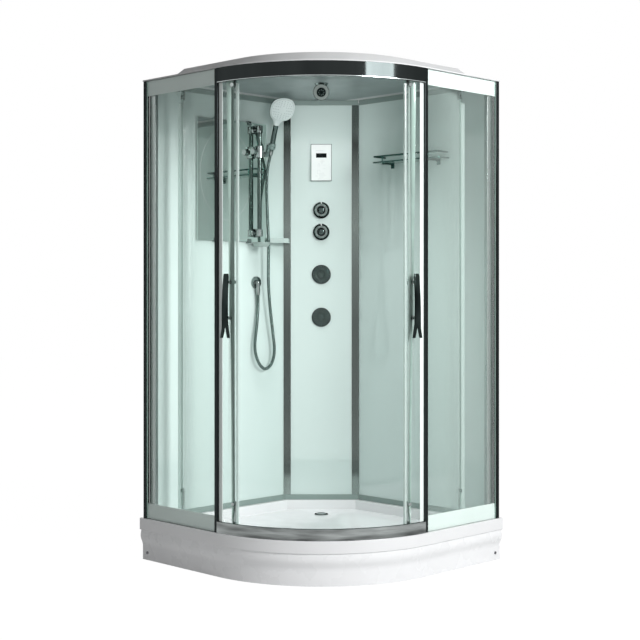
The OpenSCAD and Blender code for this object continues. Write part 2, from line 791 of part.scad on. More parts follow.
handle_r = 12;
handle_l = 150;
cup_z = 28;
cup_h = 26;
head_out = 45;
head_up = 216;
head_t = 20;

module head_frame() translate([0, head_out, head_up])
  rotate([-90 - head_lean + handset_lean, 0, 0]) children();

module hand_shower() color("silver") cabin() handset_turned() {
  translate([0, 0, nut_l]) cylinder(r = handle_r, h = handle_l - nut_l);
  hull() {
    translate([0, 0, handle_l - 6]) cylinder(r = handle_r, h = 6, $fn = 32);
    head_frame() translate([0, 0, -head_t - 4]) cylinder(r = 26, h = 8, $fn = 32);
  }
  head_frame() {
    translate([0, 0, -head_t]) cylinder(r1 = head_d / 2 - 14, r2 = head_d / 2, h = 9);
    translate([0, 0, -head_t + 9]) cylinder(d = head_d, h = head_t - 9);
  }
}

module spray_face() color("white") cabin() handset_turned() head_frame()
  cylinder(r1 = head_d / 2 - 5, r2 = head_d / 2 - 8, h = 3);

pin_r = 6;
slider_r = 19;
slider_h = 52;
hub_x = nut_end.x + 20;
hub_w = 18;

// Slider: a collar on the bar, with a pin towards the holder and a threaded boss for the knob
module riser_slider() color("silver") cabin() difference() {
  union() {
    translate([bar.x, bar.y, slider_z - slider_h / 2]) cylinder(r = slider_r, h = slider_h);
    rod([hub_x, nut_end.y, nut_end.z], [bar.x, nut_end.y, nut_end.z], pin_r);
    rod([hub_x + hub_w + 0.3, nut_end.y, nut_end.z], [bar.x, nut_end.y, nut_end.z], 10);
    rod([bar.x, bar.y, slider_z], [bar.x + slider_r + 4, bar.y, slider_z], 9);
  }
  translate([bar.x, bar.y, slider_z - slider_h]) cylinder(r = bar_d / 2 + running, h = 2 * slider_h);
  rod([bar.x + 11, bar.y, slider_z], [bar.x + slider_r + 5, bar.y, slider_z], 4 + running);
}

module slider_knob() color("silver") cabin() {
  x = bar.x + slider_r + 4 + seat;
  rod([bar.x + bar_d / 2 + 2, bar.y, slider_z], [x + 2, bar.y, slider_z], 4);
  difference() {
    rod([x, bar.y, slider_z], [x + 20, bar.y, slider_z], 14);
    for (a = [0 : 45 : 315]) translate([x + 5, bar.y, slider_z]) rotate([a, 0, 0])
      translate([0, 16, 0]) rotate([0, 90, 0]) cylinder(r = 4, h = 20);
  }
}

module handset_holder() color("silver") cabin() difference() {
  union() {
    rod([hub_x, nut_end.y, nut_end.z], [hub_x + hub_w, nut_end.y, nut_end.z], 11);
    handset_frame() {
      translate([0, 0, cup_z]) cylinder(r = handle_r + 5, h = cup_h);
      translate([handle_r + 2, -6, -2]) cube([14, 12, cup_z + cup_h - 6]);
    }
  }
  handset_frame() translate([0, 0, cup_z - 20]) cylinder(r = handle_r + seat, h = cup_h + 40);
  rod([hub_x - 3, nut_end.y, nut_end.z], [hub_x + hub_w + 1, nut_end.y, nut_end.z], pin_r + running);
}

// Column fittings, drawn in the diagonal frame with x pointing out of the face

module on_column(z) cabin() diagonal() translate([column_run, 0, z]) rotate([0, 90, 0]) children();

module rounded(w, h, r) {
  translate([r, 0]) square([w - 2 * r, h]);
  translate([0, r]) square([w, h - 2 * r]);
  for (x = [r, w - r], y = [r, h - r]) translate([x, y]) circle(r = r);
}

module control_panel() color("white") cabin() diagonal() translate([column_run, 0, 0]) difference() {
  translate([0, -panel_w / 2, panel_z - panel_h / 2]) rotate([90, 0, 90])
    linear_extrude(panel_t) rounded(panel_w, panel_h, 5);
  translate([panel_t - 2, -display_w / 2, display_z - display_h / 2])
    cube([3, display_w, display_h]);
}

// A knob: a stepped disc with a notch at the top and a spindle into the valve
module knob(z) on_column(z) difference() {
  union() {
    translate([0, 0, 1]) cylinder(d = knob_d, h = 8);
    translate([0, 0, 9]) cylinder(d1 = knob_d - 6, d2 = knob_d - 14, h = 14);
    translate([0, 0, 23]) cylinder(d1 = knob_d - 30, d2 = knob_d - 34, h = 4);
    translate([0, 0, -52]) cylinder(d = spindle_d, h = 54);
  }
  translate([-knob_d / 2 - 1, -2, 9]) cube([16, 4, 20]);
}

module upper_knob() color("dimgray") knob(knob_z[0]);
module lower_knob() color("dimgray") knob(knob_z[1]);

module jet_rings() color("dimgray") for (z = jet_z) on_column(z) difference() {
  union() {
    cylinder(d = jet_d, h = 6);
    translate([0, 0, 6]) cylinder(d1 = jet_d - 4, d2 = jet_d - 26, h = 7);
    translate([0, 0, -wall_t - 16]) cylinder(r = 29.5, h = wall_t + 17);
  }
  sphere(r = ball_r + running);
  translate([0, 0, -12]) cylinder(r = 19, h = 40);
  translate([0, 0, -wall_t - 12]) cylinder(r = 21, h = wall_t + 6);
}

module jet(z) on_column(z) intersection() {
  sphere(r = ball_r);
  translate([-30, -30, -12]) cube([60, 60, 30]);
}

module upper_jet() color("gray") jet(jet_z[0]);
module lower_jet() color("gray") jet(jet_z[1]);

valve_r = 26;
feed_start = (valve_run - valve_r) / sqrt(2) - 1;

module mixer_valve() color("goldenrod") cabin() diagonal() difference() {
  union() {
    translate([valve_run, 0, knob_z[1] - 30]) cylinder(r = valve_r, h = knob_z[0] - knob_z[1] + 60);
    for (z = knob_z) rod([valve_run, 0, z], [column_run - wall_t - 8, 0, z], 19);
  }
  for (z = knob_z) rod([column_run - 56, 0, z], [column_run, 0, z], spindle_d / 2 + running);
}

inlet_y = 45;
inlet_z = rim_z + 140;
inlet_run = 62;
inlet_r = 10.4;
inlet_l = 16;
feed_r = 6;
riser_feed_y = 2;
roof_pipe_z = ceiling_z + 12;
valve_top = knob_z[0] + 30;
valve_foot = knob_z[1] - 30;
jet_feed = column_run - wall_t - 16 - seat;

// The two inlets point back out of the corner, where the hoses of the supply reach them
module supply_pipes() color("peru") {
  cabin() diagonal() {
    for (side = [-1, 1]) {
      piping([[valve_run, side * 12, valve_foot], [valve_run, side * 12, valve_foot - 60],
        [valve_run - 20, side * inlet_y, valve_foot - 90], [valve_run - 20, side * inlet_y, inlet_z],
        [inlet_run + 4, side * inlet_y, inlet_z]], 8);
      rod([inlet_run + 1, side * inlet_y, inlet_z], [inlet_run - inlet_l, side * inlet_y, inlet_z], inlet_r);
      translate([inlet_run, side * inlet_y, inlet_z]) rotate([0, 90, 0]) cylinder(r = 14, h = 8, $fn = 6);
    }
    piping([[roof_pipe_run, 0, valve_top], [roof_pipe_run, 0, roof_pipe_z],
      [overhead_run, 0, roof_pipe_z], [overhead_run, 0, ceiling_z + 1]], feed_r);
    piping([[valve_run - 40, 0, valve_foot + 20], [valve_run - 40, 0, jet_z[1]],
      [jet_feed, 0, jet_z[1]]], feed_r);
    rod([valve_run - 40, 0, valve_foot + 20], [valve_run - valve_r - seat, 0, valve_foot + 20], feed_r);
    rod([valve_run - 40, 0, jet_z[0]], [jet_feed, 0, jet_z[0]], feed_r);
  }
  cabin() piping([[feed_start, feed_start, knob_z[0] - 20], [30, riser_feed_y, knob_z[0] - 20],
    [30, riser_feed_y, elbow_z], [elbow_x - elbow_r - seat, riser_feed_y, elbow_z]], feed_r);
}

// Overhead shower: an eye with a pin under the ceiling, and a head that tilts on it

module overhead_place() cabin() diagonal() translate([overhead_run, 0, overhead_z]) children();

module cross_bar(r, w) translate([0, w / 2, 0]) rotate([90, 0, 0]) cylinder(r = r, h = w);

module overhead_mount() color("silver") overhead_place() {
  translate([0, 0, ceiling_z - overhead_z - 8]) cylinder(r1 = 24, r2 = 30, h = 8);
  cylinder(r = 4.5, h = ceiling_z - overhead_z - 1);
  cross_bar(eye_r, eye_w);
  cross_bar(eye_pin_r, eye_w + 2 * ear_w + 2 * seat);
}

module overhead_head() color("silver") overhead_place() rotate([0, 90 + overhead_tilt, 0]) {
  difference() {
    union() {
      for (side = [-1, 1]) translate([0, side * (eye_w + ear_w + 2 * seat) / 2, 0]) {
        cross_bar(eye_r, ear_w);
        translate([-eye_r, -ear_w / 2, 0]) cube([2 * eye_r, ear_w, eye_r + 4]);
      }
      translate([0, 0, eye_r + 3]) cylinder(r = 17, h = 5);
      translate([0, 0, eye_r + 8]) cylinder(r1 = 17, r2 = 32, h = 12);
      translate([0, 0, eye_r + 20]) cylinder(r = 35.5, h = 7);
    }
    cross_bar(eye_pin_r + running, 2 * eye_w + 4 * ear_w);
    translate([0, 0, eye_r + 23]) ring(20, 28, 5);
  }
}

// Doors, drawn closed on the left side about the centre of the round front

module door_centre() translate([straight, straight, 0]) children();

// Turns a closed door open about its pivot
module door_open() translate(pivot) rotate([0, 0, -door_travel]) translate(-pivot) children();

module left_side() cabin() door_open() door_centre() children();
module right_side() cabin() mirror([1, -1, 0]) door_open() door_centre() children();

// A round bar that points away from the centre, at an angle and a height
module spoke(a, z, r0, r1, d) rotate([0, 0, a]) translate([r0, 0, z]) rotate([0, 90, 0])
  cylinder(d = d, h = r1 - r0);

glass_in = door_r - glass_t / 2;
glass_out = door_r + glass_t / 2;
clip_low = upper_z - 26;
clip_bolt_z = clip_low + 13;
guide_low = rim_z + 10;
guide_top = lower_z + 84;
guide_bolt_z = lower_z + 74;
handle_bolts = [handle_bolt_z - bolt_gap / 2, handle_bolt_z + bolt_gap / 2];
roller_angles = [lead_roller_a, trail_roller_a];
guide_angles = [lead_a - guide_back, trail_a + guide_back];

module door_glass() difference() {
  translate([0, 0, door_foot]) rotate([0, 0, trail_a]) rotate_extrude(angle = door_arc)
    translate([glass_in, 0]) square([glass_t, door_head - door_foot]);
  for (z = handle_bolts) spoke(handle_a, z, glass_in - 5, glass_out + 5, bolt_d + 0.4);
  for (a = roller_angles) spoke(a, clip_bolt_z, glass_in - 5, glass_out + 5, bolt_d + 0.4);
  for (a = guide_angles) spoke(a, guide_bolt_z, glass_in - 5, glass_out + 5, bolt_d + 0.4);
}

seal_head = upper_z - 9;
seal_foot = door_foot + 5;
fin_head = upper_z - 33;

// Leading magnet seal and trailing fin seal, each a channel over the edge of the glass
module door_seals() {
  translate([0, 0, seal_foot]) rotate([0, 0, lead_a]) difference() {
    union() {
      rotate([0, 0, -channel_a]) rotate_extrude(angle = channel_a + 0.3)
        translate([glass_in - 2.5, 0]) square([glass_t + 5, seal_head - seal_foot]);
      rotate_extrude(angle = magnet_a) translate([glass_in - 1, 0])
        square([glass_t + 2, seal_head - seal_foot]);
    }
    rotate([0, 0, -3]) rotate_extrude(angle = 3.01)
      translate([glass_in - 0.1, -1]) square([glass_t + 0.2, seal_head - seal_foot + 2]);
  }
  translate([0, 0, seal_foot]) rotate([0, 0, trail_a]) difference() {
    union() {
      rotate([0, 0, -0.3]) rotate_extrude(angle = 1.6)
        translate([glass_in - 2, 0]) square([glass_t + 4, fin_head - seal_foot]);
      rotate([0, 0, -0.3]) rotate_extrude(angle = 0.25)
        translate([glass_in - 2, 0]) square([glass_t + 16, fin_head - seal_foot]);
    }
    rotate([0, 0, -0.01]) rotate_extrude(angle = 3)
      translate([glass_in - 0.1, -1]) square([glass_t + 0.2, fin_head - seal_foot + 2]);
  }
}

// A block at an angle, centred on its width, between two radii and two heights
module block(a, w, r0, r1, z0, z1) rotate([0, 0, a]) translate([r0, -w / 2, z0])
  cube([r1 - r0, w, z1 - z0]);

// A plate inside the glass, with a bolt through the glass and a round cap outside. The plate is
// flat, so it stands clear of the curved glass by its own sagitta.
module carriage_plate(w, z0, z1, bolt_z, cap_d) {
  gap = w * w / 8 / door_r + seat;
  block(0, w, glass_in - gap - 6, glass_in - gap, z0, z1);
  spoke(0, bolt_z, glass_in - 8, glass_out + 4, bolt_d);
  spoke(0, bolt_z, glass_out + seat, glass_out + 4.5, cap_d);
}

module carriages() {
  for (a = roller_angles) rotate([0, 0, a]) {
    carriage_plate(clip_w, clip_low, roller_z + 10, clip_bolt_z, 18);
    spoke(0, roller_z, glass_in - 5, roller_in + roller_w + 0.3, axle_d);
    spoke(0, roller_z, roller_in + roller_w + 0.2, roller_in + roller_w + 1.7, axle_d + 4);
  }
  for (a = guide_angles) rotate([0, 0, a]) {
    carriage_plate(guide_w, guide_low, guide_top, guide_bolt_z, 14);
    block(0, guide_w - 4, glass_in - 2, rail_in - 8, door_foot - 19, door_foot - 4);
  }
}

module roller(a) rotate([0, 0, a]) difference() {
  spoke(0, roller_z, roller_in, roller_in + roller_w, roller_d);
  spoke(0, roller_z, roller_in - 1, roller_in + roller_w + 1, axle_d + 2 * running);
}

// Handle: a bowed bar outside the glass, forked at its foot, and two bolts with cap nuts inside
handle_low = handle_bolt_z - handle_h / 2 - 23;
bow_steps = 16;
function bow(t) = 21 + 6 * sin(180 * t) + 10 * pow(1 - t, 4);
function bow_t(t) = 8 + 3 * sin(180 * min(1, 1.1 * t));
bow_points = concat(
  [for (i = [0 : bow_steps]) [bow(i / bow_steps), handle_h * i / bow_steps]],
  [for (i = [bow_steps : -1 : 0]) [bow(i / bow_steps) + bow_t(i / bow_steps), handle_h * i / bow_steps]]);

module door_handle() rotate([0, 0, handle_a]) {
  difference() {
    translate([glass_out, handle_w / 2, handle_low]) rotate([90, 0, 0])
      linear_extrude(handle_w) polygon(bow_points);
    translate([glass_out + 10, -2.5, handle_low - 1]) cube([60, 5, 46]);
  }
  for (z = handle_bolts) {
    spoke(0, z, glass_in - 16, glass_out + 28, bolt_d);
    spoke(0, z, glass_out + 0.4, glass_out + 4, 18);
    spoke(0, z, glass_in - 20, glass_in - 0.6, 16);
  }
}

module left_door_glass() color([0.75, 0.88, 0.84, 0.4]) left_side() door_glass();
module left_door_seals() color("white") left_side() door_seals();
module left_handle() color("dimgray") left_side() door_handle();
module left_carriages() color("silver") left_side() carriages();
module left_lead_roller() color("white") left_side() roller(lead_roller_a);
module left_trail_roller() color("white") left_side() roller(trail_roller_a);
module right_door_glass() color([0.75, 0.88, 0.84, 0.4]) right_side() door_glass();
module right_door_seals() color("white") right_side() door_seals();
module right_handle() color("dimgray") right_side() door_handle();
module right_carriages() color("silver") right_side() carriages();
module right_lead_roller() color("white") right_side() roller(lead_roller_a);
module right_trail_roller() color("white") right_side() roller(trail_roller_a);

shower_tray();
apron();
apron_screws();
tray_frame();
levelling_feet();
drain_flange();
drain_trap();
wall_panels();
column_panel();
column_profiles();
wall_trims();
roof();
ceiling_panel();
posts();
post_strips();
post_seals();
upper_rail();
lower_rail();
rail_covers();
fixed_glass();
wall_mirror();
mirror_clips();
shelf_board();
shelf_gallery();
corner_shelf();
riser_bar();
riser_brackets();
soap_dish();
outlet_elbow();
shower_hose();
elbow_nut();
control_panel();
mixer_valve();
supply_pipes();
jet_rings();
overhead_mount();
drain_cover();
overhead_head();
riser_slider();
slider_knob();
handset_holder();
hand_shower();
spray_face();
handset_nut();
upper_knob();
lower_knob();
upper_jet();
lower_jet();
left_door_glass();
left_door_seals();
left_handle();
left_carriages();
right_door_glass();
right_door_seals();
right_handle();
right_carriages();
left_lead_roller();
left_trail_roller();
right_lead_roller();
right_trail_roller();
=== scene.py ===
import bpy, bmesh, json, math
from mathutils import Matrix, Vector


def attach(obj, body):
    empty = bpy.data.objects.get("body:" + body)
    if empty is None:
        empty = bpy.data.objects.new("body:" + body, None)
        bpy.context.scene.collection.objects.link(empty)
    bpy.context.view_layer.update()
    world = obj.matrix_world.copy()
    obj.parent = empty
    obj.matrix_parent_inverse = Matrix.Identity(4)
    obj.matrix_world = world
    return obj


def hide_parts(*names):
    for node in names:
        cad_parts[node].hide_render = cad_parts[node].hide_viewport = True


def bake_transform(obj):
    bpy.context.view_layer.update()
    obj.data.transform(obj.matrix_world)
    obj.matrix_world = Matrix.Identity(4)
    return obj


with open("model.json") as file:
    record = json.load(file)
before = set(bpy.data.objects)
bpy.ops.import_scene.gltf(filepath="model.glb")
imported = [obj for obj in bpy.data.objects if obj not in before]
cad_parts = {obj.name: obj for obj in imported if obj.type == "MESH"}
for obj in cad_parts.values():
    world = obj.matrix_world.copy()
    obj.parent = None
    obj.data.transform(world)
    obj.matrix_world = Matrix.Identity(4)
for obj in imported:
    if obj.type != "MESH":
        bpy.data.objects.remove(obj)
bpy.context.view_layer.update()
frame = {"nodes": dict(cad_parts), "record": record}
N = frame["nodes"]
MM = 0.001

# Places, in mm: p runs along the left wall and q along the right one, from the corner
ORIGIN = 523               # the scene's origin, in p and q
ARC = 476                  # centre of the round front, in p and q
COLUMN = 202               # from the corner to the face of its column, along the diagonal
FACE = 214.0               # from the corner to the face of the control panel
HANDSET = (391, 59, 1776)  # p, q and z where the hose meets the hand shower


def W(p, q, z):
    return Vector(((q - ORIGIN) * MM, (ORIGIN - p) * MM, z * MM))


def D(f, u, z):
    """A point f mm from the corner towards the camera and u mm to the right."""
    s = math.sqrt(2)
    return W((f - u) / s, (f + u) / s, z)


def WD(dp, dq):
    return Vector((dq, -dp, 0)).normalized()


FWD, SIDE, UP = WD(1, 1), WD(-1, 1), Vector((0, 0, 1))


def placed(name, data):
    """A new object in the scene."""
    o = bpy.data.objects.new(name, data)
    bpy.context.scene.collection.objects.link(o)
    return o


# Camera: level, on the diagonal
cam_data = bpy.data.cameras.new("camera")
cam = placed("camera", cam_data)
cam.location = (3.928, -3.928, 1.150)
cam.rotation_euler = (math.radians(90), 0, math.radians(45))
cam_data.sensor_width = 36
cam_data.lens = 73.0
cam_data.shift_x = -0.002
cam_data.shift_y = -0.0453
bpy.context.scene.camera = cam


# Mesh helpers
def finish_piece(name, me, mats, body, smooth, replaces):
    """A mesh as a piece; edges under the angle smooth, in degrees, look round (0: all flat)."""
    o = placed(name, me)
    for m in mats:
        me.materials.append(M[m])
    if smooth:
        me.shade_smooth()
        me.set_sharp_from_angle(angle=math.radians(smooth))
    if body:
        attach(o, body)
    for n in replaces:
        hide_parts(n)
    return o


def joined(name, parts, mats, body="cabin", smooth=35, replaces=()):
    """One piece from parts of (verts, faces, index of the finish)."""
    vs, fs, ms = [], [], []
    for v, f, m in parts:
        fs += [tuple(i + len(vs) for i in q) for q in f]
        vs += v
        ms += [m] * len(f)
    me = bpy.data.meshes.new(name)
    me.from_pydata([tuple(v) for v in vs], [], fs)
    for p, m in zip(me.polygons, ms):
        p.material_index = m
    me.update()
    return finish_piece(name, me, mats, body, smooth, replaces)


def axes(d):
    """Two directions square to d, and d itself."""
    d = Vector(d).normalized()
    a = Vector((0, 0, 1)) if abs(d.z) < 0.9 else Vector((1, 0, 0))
    x = a.cross(d).normalized()
    return x, d.cross(x).normalized(), d


def skin(rows, n, caps=True):
    """Faces between rings of n points each, and over both ends."""
    fs = []
    for i in range(rows - 1):
        for k in range(n):
            a, b = i * n + k, i * n + (k + 1) % n
            fs.append((a, b, b + n, a + n))
    if caps:
        fs += [tuple(reversed(range(n))), tuple(range((rows - 1) * n, rows * n))]
    return fs


def lathe(profile, origin, direction, n, scale=None, caps=True):
    """Verts and faces of a profile of (radius, height) in mm turned about an axis."""
    x, y, d = axes(direction)
    vs = []
    for r, h in profile:
        for k in range(n):
            a = 2 * math.pi * k / n
            s = scale(a) if scale else 1.0
            vs.append(Vector(origin) + (x * math.cos(a) + y * math.sin(a)) * (r * s * MM)
                      + d * (h * MM))
    return vs, skin(len(profile), n, caps)


def tube(pts, radii, n):
    """A tube through points, with a radius in metres at each."""
    last = len(pts) - 1
    t = [(pts[min(i + 1, last)] - pts[max(i - 1, 0)]).normalized() for i in range(len(pts))]
    x = axes(t[0])[0]
    vs = []
    for i, p in enumerate(pts):
        if i:
            x = t[i - 1].rotation_difference(t[i]) @ x
            x = (x - t[i] * x.dot(t[i])).normalized()
        y = t[i].cross(x)
        for k in range(n):
            a = 2 * math.pi * k / n
            vs.append(p + (x * math.cos(a) + y * math.sin(a)) * radii[i])
    return vs, skin(len(pts), n)


def spline(route, per):
    """A smooth line through the route's points, in per steps from each one to the next."""
    r = [2 * route[0] - route[1]] + list(route) + [2 * route[-1] - route[-2]]
    out = []
    for i in range(1, len(r) - 2):
        a, b, c, d = r[i - 1:i + 3]
        for k in range(per):
            t = k / per
            out.append(0.5 * (2 * b + (c - a) * t + (2 * a - 5 * b + 4 * c - d) * t * t
                              + (3 * b - a - 3 * c + d) * t ** 3))
    return out + [r[-2]]


def outward(o, weld=0):
    """Turn an object's faces outward, after joining points nearer than weld metres."""
    bm = bmesh.new()
    bm.from_mesh(o.data)
    if weld:
        bmesh.ops.remove_doubles(bm, verts=bm.verts, dist=weld)
    bmesh.ops.recalc_face_normals(bm, faces=bm.faces)
    bm.to_mesh(o.data)
    bm.free()


# Materials, by name
M = {}


def nodes_of(owner, output="ShaderNodeOutputMaterial"):
    owner.use_nodes = True
    nt = owner.node_tree
    nt.nodes.clear()
    return nt, nt.nodes.new(output)


def math_node(nt, operation, *values):
    """A maths node; a value is a number or another node's output."""
    node = nt.nodes.new("ShaderNodeMath")
    node.operation = operation
    for socket, value in zip(node.inputs, values):
        if isinstance(value, (int, float)):
            socket.default_value = value
        else:
            nt.links.new(value, socket)
    return node


def ramp_mix(nt, fac, a, b):
    mix = nt.nodes.new("ShaderNodeMix")
    mix.data_type = "RGBA"
    mix.inputs["A"].default_value = (*a, 1)
    mix.inputs["B"].default_value = (*b, 1)
    nt.links.new(fac, mix.inputs["Factor"])
    return mix.outputs["Result"]


def remap(nt, value, lo, hi, a=0.3, b=0.7):
    """A value between a and b, spread from lo to hi."""
    mr = nt.nodes.new("ShaderNodeMapRange")
    mr.inputs["From Min"].default_value = a
    mr.inputs["From Max"].default_value = b
    mr.inputs["To Min"].default_value = lo
    mr.inputs["To Max"].default_value = hi
    nt.links.new(value, mr.inputs["Value"])
    return mr.outputs["Result"]


def noise(nt, scale, stretch=(1, 1, 1), detail=3.0):
    tc = nt.nodes.new("ShaderNodeTexCoord")
    mp = nt.nodes.new("ShaderNodeMapping")
    mp.inputs["Scale"].default_value = stretch
    ns = nt.nodes.new("ShaderNodeTexNoise")
    ns.inputs["Scale"].default_value = scale
    ns.inputs["Detail"].default_value = detail
    nt.links.new(tc.outputs["Object"], mp.inputs["Vector"])
    nt.links.new(mp.outputs["Vector"], ns.inputs["Vector"])
    return ns.outputs["Fac"]


def shade(c, k):
    return tuple(min(1, x * k) for x in c)


def paint_light_by_height(nt, base, painted_light_bands):
    """A colour made lighter or darker by height, as painted reflections and shade: bands of (height
    in m, brightness).
    """
    top = 2.1
    tc = nt.nodes.new("ShaderNodeTexCoord")
    xyz = nt.nodes.new("ShaderNodeSeparateXYZ")
    nt.links.new(tc.outputs["Object"], xyz.inputs[0])
    cr = nt.nodes.new("ShaderNodeValToRGB")
    stops = cr.color_ramp.elements
    while len(stops) > 1:
        stops.remove(stops[-1])
    for i, (z, k) in enumerate(painted_light_bands):
        e = stops[0] if i == 0 else stops.new(z / top)
        e.position = z / top
        e.color = (k, k, k, 1)
    nt.links.new(remap(nt, xyz.outputs["Z"], 0, 1, 0, top), cr.inputs["Fac"])
    mul = nt.nodes.new("ShaderNodeMix")
    mul.data_type = "RGBA"
    mul.blend_type = "MULTIPLY"
    mul.inputs["Factor"].default_value = 1
    nt.links.new(base, mul.inputs["A"])
    nt.links.new(cr.outputs["Color"], mul.inputs["B"])
    return mul.outputs["Result"]


def plain(name, colour, rough, metal=0.0, var=0.05, rvar=0.05, scale=6, stretch=(1, 1, 1), bump=0.0,
          bump_scale=300, bump_stretch=(1, 1, 1), coat=0.0, spec=0.5, tint=None, edge=None,
          painted_light_bands=None):
    """A finish whose colour and roughness drift a little, with a fine bump, and with painted
    reflections and shade by height where bands are given.
    """
    M[name] = m = bpy.data.materials.new(name)
    nt, out = nodes_of(m)
    b = nt.nodes.new("ShaderNodeBsdfPrincipled")
    b.inputs["Metallic"].default_value = metal
    b.inputs["Coat Weight"].default_value = coat
    b.inputs["Specular IOR Level"].default_value = spec
    if edge is not None:
        b.inputs["Specular Tint"].default_value = (edge, edge, edge, 1)
    f = noise(nt, scale, stretch)
    base = ramp_mix(nt, remap(nt, f, 0, 1), colour, tint or shade(colour, 1 - var))
    if painted_light_bands:
        base = paint_light_by_height(nt, base, painted_light_bands)
    nt.links.new(base, b.inputs["Base Color"])
    g = noise(nt, scale * 3.1, stretch)
    nt.links.new(remap(nt, g, max(0.01, rough - rvar), rough + rvar), b.inputs["Roughness"])
    if bump:
        bp = nt.nodes.new("ShaderNodeBump")
        bp.inputs["Strength"].default_value = bump
        bp.inputs["Distance"].default_value = 0.0004
        nt.links.new(noise(nt, bump_scale, bump_stretch, 2), bp.inputs["Height"])
        nt.links.new(bp.outputs["Normal"], b.inputs["Normal"])
    nt.links.new(b.outputs["BSDF"], out.inputs["Surface"])


def pane(name, tint, haze, haze_amount, shine=1.0):
    """Thin glass: it lets light straight through with a tint, and shines at its surface."""
    M[name] = m = bpy.data.materials.new(name)
    nt, out = nodes_of(m)
    tr = nt.nodes.new("ShaderNodeBsdfTransparent")
    tr.inputs["Color"].default_value = (*tint, 1)
    b = nt.nodes.new("ShaderNodeBsdfPrincipled")
    b.inputs["Roughness"].default_value = 0.03
    b.inputs["Coat Weight"].default_value = 0.6
    f = noise(nt, 2.2, (1, 1, 0.35), 2)
    nt.links.new(ramp_mix(nt, remap(nt, f, 0, 1), haze, shade(haze, 0.9)), b.inputs["Base Color"])
    lw = nt.nodes.new("ShaderNodeLayerWeight")
    lw.inputs["Blend"].default_value = 0.5
    glance = math_node(nt, "POWER", lw.outputs["Facing"], 4.0)
    gloss = math_node(nt, "MULTIPLY_ADD", glance.outputs["Value"], shine,
                      remap(nt, f, haze_amount * 0.8, haze_amount * 1.2))
    gloss.use_clamp = True
    mx = nt.nodes.new("ShaderNodeMixShader")
    nt.links.new(gloss.outputs["Value"], mx.inputs["Fac"])
    nt.links.new(tr.outputs["BSDF"], mx.inputs[1])
    nt.links.new(b.outputs["BSDF"], mx.inputs[2])
    nt.links.new(mx.outputs["Shader"], out.inputs["Surface"])


def silvered(name, centre, half_width, half_height):
    """Mirror glass with a frosted oval line, drawn from the mirror's own coordinates."""
    M[name] = m = bpy.data.materials.new(name)
    nt, out = nodes_of(m)
    b = nt.nodes.new("ShaderNodeBsdfPrincipled")
    b.inputs["Metallic"].default_value = 1
    tc = nt.nodes.new("ShaderNodeTexCoord")
    mp = nt.nodes.new("ShaderNodeMapping")
    sx, sz = 1 / half_width, 1 / half_height
    mp.inputs["Location"].default_value = (0, -centre.y * sx, -centre.z * sz)
    mp.inputs["Scale"].default_value = (0, sx, sz)
    ln = nt.nodes.new("ShaderNodeVectorMath")
    ln.operation = "LENGTH"
    nt.links.new(tc.outputs["Object"], mp.inputs["Vector"])
    nt.links.new(mp.outputs["Vector"], ln.inputs[0])
    half_line = 0.015
    on_line = math_node(nt, "COMPARE", ln.outputs["Value"], 1.0, half_line).outputs["Value"]
    drift = ramp_mix(nt, remap(nt, noise(nt, 3), 0, 1), (0.84, 0.92, 0.885), (0.80, 0.89, 0.855))
    mix = nt.nodes.new("ShaderNodeMix")
    mix.data_type = "RGBA"
    mix.inputs["B"].default_value = (0.95, 0.98, 0.97, 1)
    nt.links.new(on_line, mix.inputs["Factor"])
    nt.links.new(drift, mix.inputs["A"])
    nt.links.new(mix.outputs["Result"], b.inputs["Base Color"])
    nt.links.new(remap(nt, on_line, 0.02, 0.2, 0, 1), b.inputs["Roughness"])
    nt.links.new(b.outputs["BSDF"], out.inputs["Surface"])


BRUSH = (1, 1, 0.015)
plain("white_acrylic", (0.755, 0.765, 0.775), 0.18, var=0.03, scale=3, bump=0.05, bump_scale=60,
      coat=0.3)
plain("apron_acrylic", (0.80, 0.81, 0.82), 0.28, var=0.04, scale=3, bump=0.06, bump_scale=60,
      coat=0.2)
plain("screw_steel", (0.12, 0.12, 0.13), 0.3, 1, bump=0.1)
plain("frame_steel", (0.06, 0.065, 0.07), 0.45, 0, var=0.2, bump=0.15, bump_scale=900)
plain("zinc", (0.55, 0.56, 0.57), 0.38, 1, var=0.25, rvar=0.12, scale=60, bump=0.1)
plain("chrome", (0.40, 0.45, 0.44), 0.07, 1, var=0.35, rvar=0.03, scale=20, edge=0.02)
plain("trap_plastic", (0.75, 0.75, 0.74), 0.45, bump=0.15, bump_scale=1200)
plain("back_glass", (0.57, 0.675, 0.65), 0.08, var=0.03, scale=1.5, coat=0.6)
plain("alu", (0.42, 0.46, 0.45), 0.30, 1, var=0.18, rvar=0.08, scale=90, stretch=BRUSH, bump=0.12,
      bump_scale=500, bump_stretch=BRUSH, edge=0.3)
# The column profiles' bands by height are painted reflections and shade on the metal.
plain("profile_grey", (0.45, 0.53, 0.50), 0.22, 1, var=0.2, rvar=0.06, scale=9,
      stretch=(1, 1, 0.12), bump=0.06, bump_scale=500, bump_stretch=BRUSH, edge=0.2,
      painted_light_bands=((0.27, 0.85), (0.30, 0.36), (0.6, 0.24), (1.0, 0.22), (1.25, 0.32), (1.45, 0.46),
             (1.62, 0.36), (1.84, 0.16), (1.90, 0.5)))
plain("trim_light", (0.26, 0.33, 0.31), 0.42, 0.2, var=0.08, rvar=0.05, scale=2, spec=0.2)
plain("bar_chrome", (0.10, 0.135, 0.125), 0.13, 1, var=0.3, rvar=0.04, scale=20, edge=0.15)
plain("holder_grey", (0.24, 0.33, 0.31), 0.3, 0.6, var=0.2, rvar=0.08, scale=30)
plain("handle_grey", (0.13, 0.18, 0.17), 0.22, 1, var=0.3, rvar=0.05, scale=20, edge=0.3)
plain("knob_grey", (0.10, 0.135, 0.13), 0.22, 1, var=0.4, rvar=0.05, scale=90, edge=0.3)
plain("shelf_rim", (0.07, 0.15, 0.135), 0.14, 1, var=0.4, rvar=0.04, scale=12, edge=0.2)
plain("face_dots", (0.30, 0.38, 0.37), 0.4)
